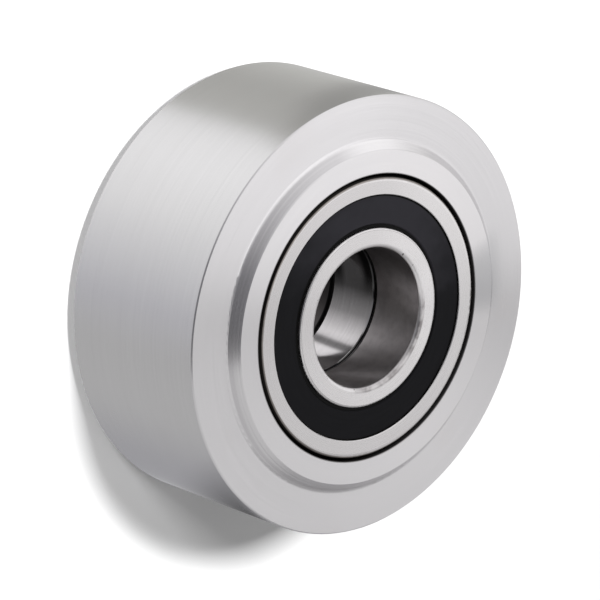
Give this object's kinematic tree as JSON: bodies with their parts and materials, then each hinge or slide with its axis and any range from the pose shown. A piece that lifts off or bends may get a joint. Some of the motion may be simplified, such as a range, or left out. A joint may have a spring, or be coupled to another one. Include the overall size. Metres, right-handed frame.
{
  "type": "caster wheel",
  "caption": "Solid steel caster wheel with a flat tread, raised hub bosses and two sealed ball bearings on a spacer sleeve.",
  "frame": {"origin": "centre of the wheel, on its spin axis halfway between the two boss faces", "axes": "+Z along the spin axis, out of the front boss; the wheel stands on its back boss face"},
  "size_m": [0.11, 0.11, 0.049],
  "materials": {
    "wheel_steel": "satin",
    "bearing_steel": "satin",
    "spacer_steel": "satin",
    "ball_steel": "polished",
    "cage_steel": "satin",
    "rivet_steel": "satin",
    "seal_rubber": "matte"
  },
  "bodies": {
    "hub": {"spacer_sleeve": "spacer_steel", "front_bearing_inner_ring": "bearing_steel", "back_bearing_inner_ring": "bearing_steel"},
    "wheel": {"wheel_body": "wheel_steel", "front_bearing_outer_ring": "bearing_steel", "front_bearing_seal_outboard": "seal_rubber", "front_bearing_seal_inboard": "seal_rubber", "back_bearing_outer_ring": "bearing_steel", "back_bearing_seal_outboard": "seal_rubber", "back_bearing_seal_inboard": "seal_rubber"},
    "front_cage": {"front_bearing_cage_outboard": "cage_steel", "front_bearing_cage_inboard": "cage_steel", "front_bearing_cage_rivets": "rivet_steel"},
    "front_ball_1": {"front_bearing_ball_1": "ball_steel"},
    "front_ball_2": {"front_bearing_ball_2": "ball_steel"},
    "front_ball_3": {"front_bearing_ball_3": "ball_steel"},
    "front_ball_4": {"front_bearing_ball_4": "ball_steel"},
    "front_ball_5": {"front_bearing_ball_5": "ball_steel"},
    "front_ball_6": {"front_bearing_ball_6": "ball_steel"},
    "front_ball_7": {"front_bearing_ball_7": "ball_steel"},
    "front_ball_8": {"front_bearing_ball_8": "ball_steel"},
    "front_ball_9": {"front_bearing_ball_9": "ball_steel"},
    "back_cage": {"back_bearing_cage_outboard": "cage_steel", "back_bearing_cage_inboard": "cage_steel", "back_bearing_cage_rivets": "rivet_steel"},
    "back_ball_1": {"back_bearing_ball_1": "ball_steel"},
    "back_ball_2": {"back_bearing_ball_2": "ball_steel"},
    "back_ball_3": {"back_bearing_ball_3": "ball_steel"},
    "back_ball_4": {"back_bearing_ball_4": "ball_steel"},
    "back_ball_5": {"back_bearing_ball_5": "ball_steel"},
    "back_ball_6": {"back_bearing_ball_6": "ball_steel"},
    "back_ball_7": {"back_bearing_ball_7": "ball_steel"},
    "back_ball_8": {"back_bearing_ball_8": "ball_steel"},
    "back_ball_9": {"back_bearing_ball_9": "ball_steel"}
  },
  "joints": [
    {"name": "wheel_spin", "type": "hinge", "parent": "hub", "child": "wheel", "pos_m": [0, 0, 0], "axis": [0, 0, 1], "continuous": true},
    {"name": "front_cage_spin", "type": "hinge", "parent": "hub", "child": "front_cage", "pos_m": [0, 0, 0.0158], "axis": [0, 0, 1], "continuous": true},
    {"name": "front_ball_1_spin", "type": "hinge", "parent": "front_cage", "child": "front_ball_1", "pos_m": [0.02675, 0, 0.0158], "axis": [0, 0, 1], "continuous": true},
    {"name": "front_ball_2_spin", "type": "hinge", "parent": "front_cage", "child": "front_ball_2", "pos_m": [0.02049, 0.01719, 0.0158], "axis": [0, 0, 1], "continuous": true},
    {"name": "front_ball_3_spin", "type": "hinge", "parent": "front_cage", "child": "front_ball_3", "pos_m": [0.00465, 0.02634, 0.0158], "axis": [0, 0, 1], "continuous": true},
    {"name": "front_ball_4_spin", "type": "hinge", "parent": "front_cage", "child": "front_ball_4", "pos_m": [-0.01337, 0.02317, 0.0158], "axis": [0, 0, 1], "continuous": true},
    {"name": "front_ball_5_spin", "type": "hinge", "parent": "front_cage", "child": "front_ball_5", "pos_m": [-0.02514, 0.00915, 0.0158], "axis": [0, 0, 1], "continuous": true},
    {"name": "front_ball_6_spin", "type": "hinge", "parent": "front_cage", "child": "front_ball_6", "pos_m": [-0.02514, -0.00915, 0.0158], "axis": [0, 0, 1], "continuous": true},
    {"name": "front_ball_7_spin", "type": "hinge", "parent": "front_cage", "child": "front_ball_7", "pos_m": [-0.01337, -0.02317, 0.0158], "axis": [0, 0, 1], "continuous": true},
    {"name": "front_ball_8_spin", "type": "hinge", "parent": "front_cage", "child": "front_ball_8", "pos_m": [0.00465, -0.02634, 0.0158], "axis": [0, 0, 1], "continuous": true},
    {"name": "front_ball_9_spin", "type": "hinge", "parent": "front_cage", "child": "front_ball_9", "pos_m": [0.02049, -0.01719, 0.0158], "axis": [0, 0, 1], "continuous": true},
    {"name": "back_cage_spin", "type": "hinge", "parent": "hub", "child": "back_cage", "pos_m": [0, 0, -0.0158], "axis": [0, 0, 1], "continuous": true},
    {"name": "back_ball_1_spin", "type": "hinge", "parent": "back_cage", "child": "back_ball_1", "pos_m": [0.02675, 0, -0.0158], "axis": [0, 0, 1], "continuous": true},
    {"name": "back_ball_2_spin", "type": "hinge", "parent": "back_cage", "child": "back_ball_2", "pos_m": [0.02049, 0.01719, -0.0158], "axis": [0, 0, 1], "continuous": true},
    {"name": "back_ball_3_spin", "type": "hinge", "parent": "back_cage", "child": "back_ball_3", "pos_m": [0.00465, 0.02634, -0.0158], "axis": [0, 0, 1], "continuous": true},
    {"name": "back_ball_4_spin", "type": "hinge", "parent": "back_cage", "child": "back_ball_4", "pos_m": [-0.01337, 0.02317, -0.0158], "axis": [0, 0, 1], "continuous": true},
    {"name": "back_ball_5_spin", "type": "hinge", "parent": "back_cage", "child": "back_ball_5", "pos_m": [-0.02514, 0.00915, -0.0158], "axis": [0, 0, 1], "continuous": true},
    {"name": "back_ball_6_spin", "type": "hinge", "parent": "back_cage", "child": "back_ball_6", "pos_m": [-0.02514, -0.00915, -0.0158], "axis": [0, 0, 1], "continuous": true},
    {"name": "back_ball_7_spin", "type": "hinge", "parent": "back_cage", "child": "back_ball_7", "pos_m": [-0.01337, -0.02317, -0.0158], "axis": [0, 0, 1], "continuous": true},
    {"name": "back_ball_8_spin", "type": "hinge", "parent": "back_cage", "child": "back_ball_8", "pos_m": [0.00465, -0.02634, -0.0158], "axis": [0, 0, 1], "continuous": true},
    {"name": "back_ball_9_spin", "type": "hinge", "parent": "back_cage", "child": "back_ball_9", "pos_m": [0.02049, -0.01719, -0.0158], "axis": [0, 0, 1], "continuous": true}
  ],
  "couplings": [
    {"joint": "front_cage_spin", "follows": "wheel_spin", "ratio": 0.60385},
    {"joint": "front_ball_1_spin", "follows": "wheel_spin", "ratio": 2.3035},
    {"joint": "front_ball_2_spin", "follows": "wheel_spin", "ratio": 2.3035},
    {"joint": "front_ball_3_spin", "follows": "wheel_spin", "ratio": 2.3035},
    {"joint": "front_ball_4_spin", "follows": "wheel_spin", "ratio": 2.3035},
    {"joint": "front_ball_5_spin", "follows": "wheel_spin", "ratio": 2.3035},
    {"joint": "front_ball_6_spin", "follows": "wheel_spin", "ratio": 2.3035},
    {"joint": "front_ball_7_spin", "follows": "wheel_spin", "ratio": 2.3035},
    {"joint": "front_ball_8_spin", "follows": "wheel_spin", "ratio": 2.3035},
    {"joint": "front_ball_9_spin", "follows": "wheel_spin", "ratio": 2.3035},
    {"joint": "back_cage_spin", "follows": "wheel_spin", "ratio": 0.60385},
    {"joint": "back_ball_1_spin", "follows": "wheel_spin", "ratio": 2.3035},
    {"joint": "back_ball_2_spin", "follows": "wheel_spin", "ratio": 2.3035},
    {"joint": "back_ball_3_spin", "follows": "wheel_spin", "ratio": 2.3035},
    {"joint": "back_ball_4_spin", "follows": "wheel_spin", "ratio": 2.3035},
    {"joint": "back_ball_5_spin", "follows": "wheel_spin", "ratio": 2.3035},
    {"joint": "back_ball_6_spin", "follows": "wheel_spin", "ratio": 2.3035},
    {"joint": "back_ball_7_spin", "follows": "wheel_spin", "ratio": 2.3035},
    {"joint": "back_ball_8_spin", "follows": "wheel_spin", "ratio": 2.3035},
    {"joint": "back_ball_9_spin", "follows": "wheel_spin", "ratio": 2.3035}
  ]
}
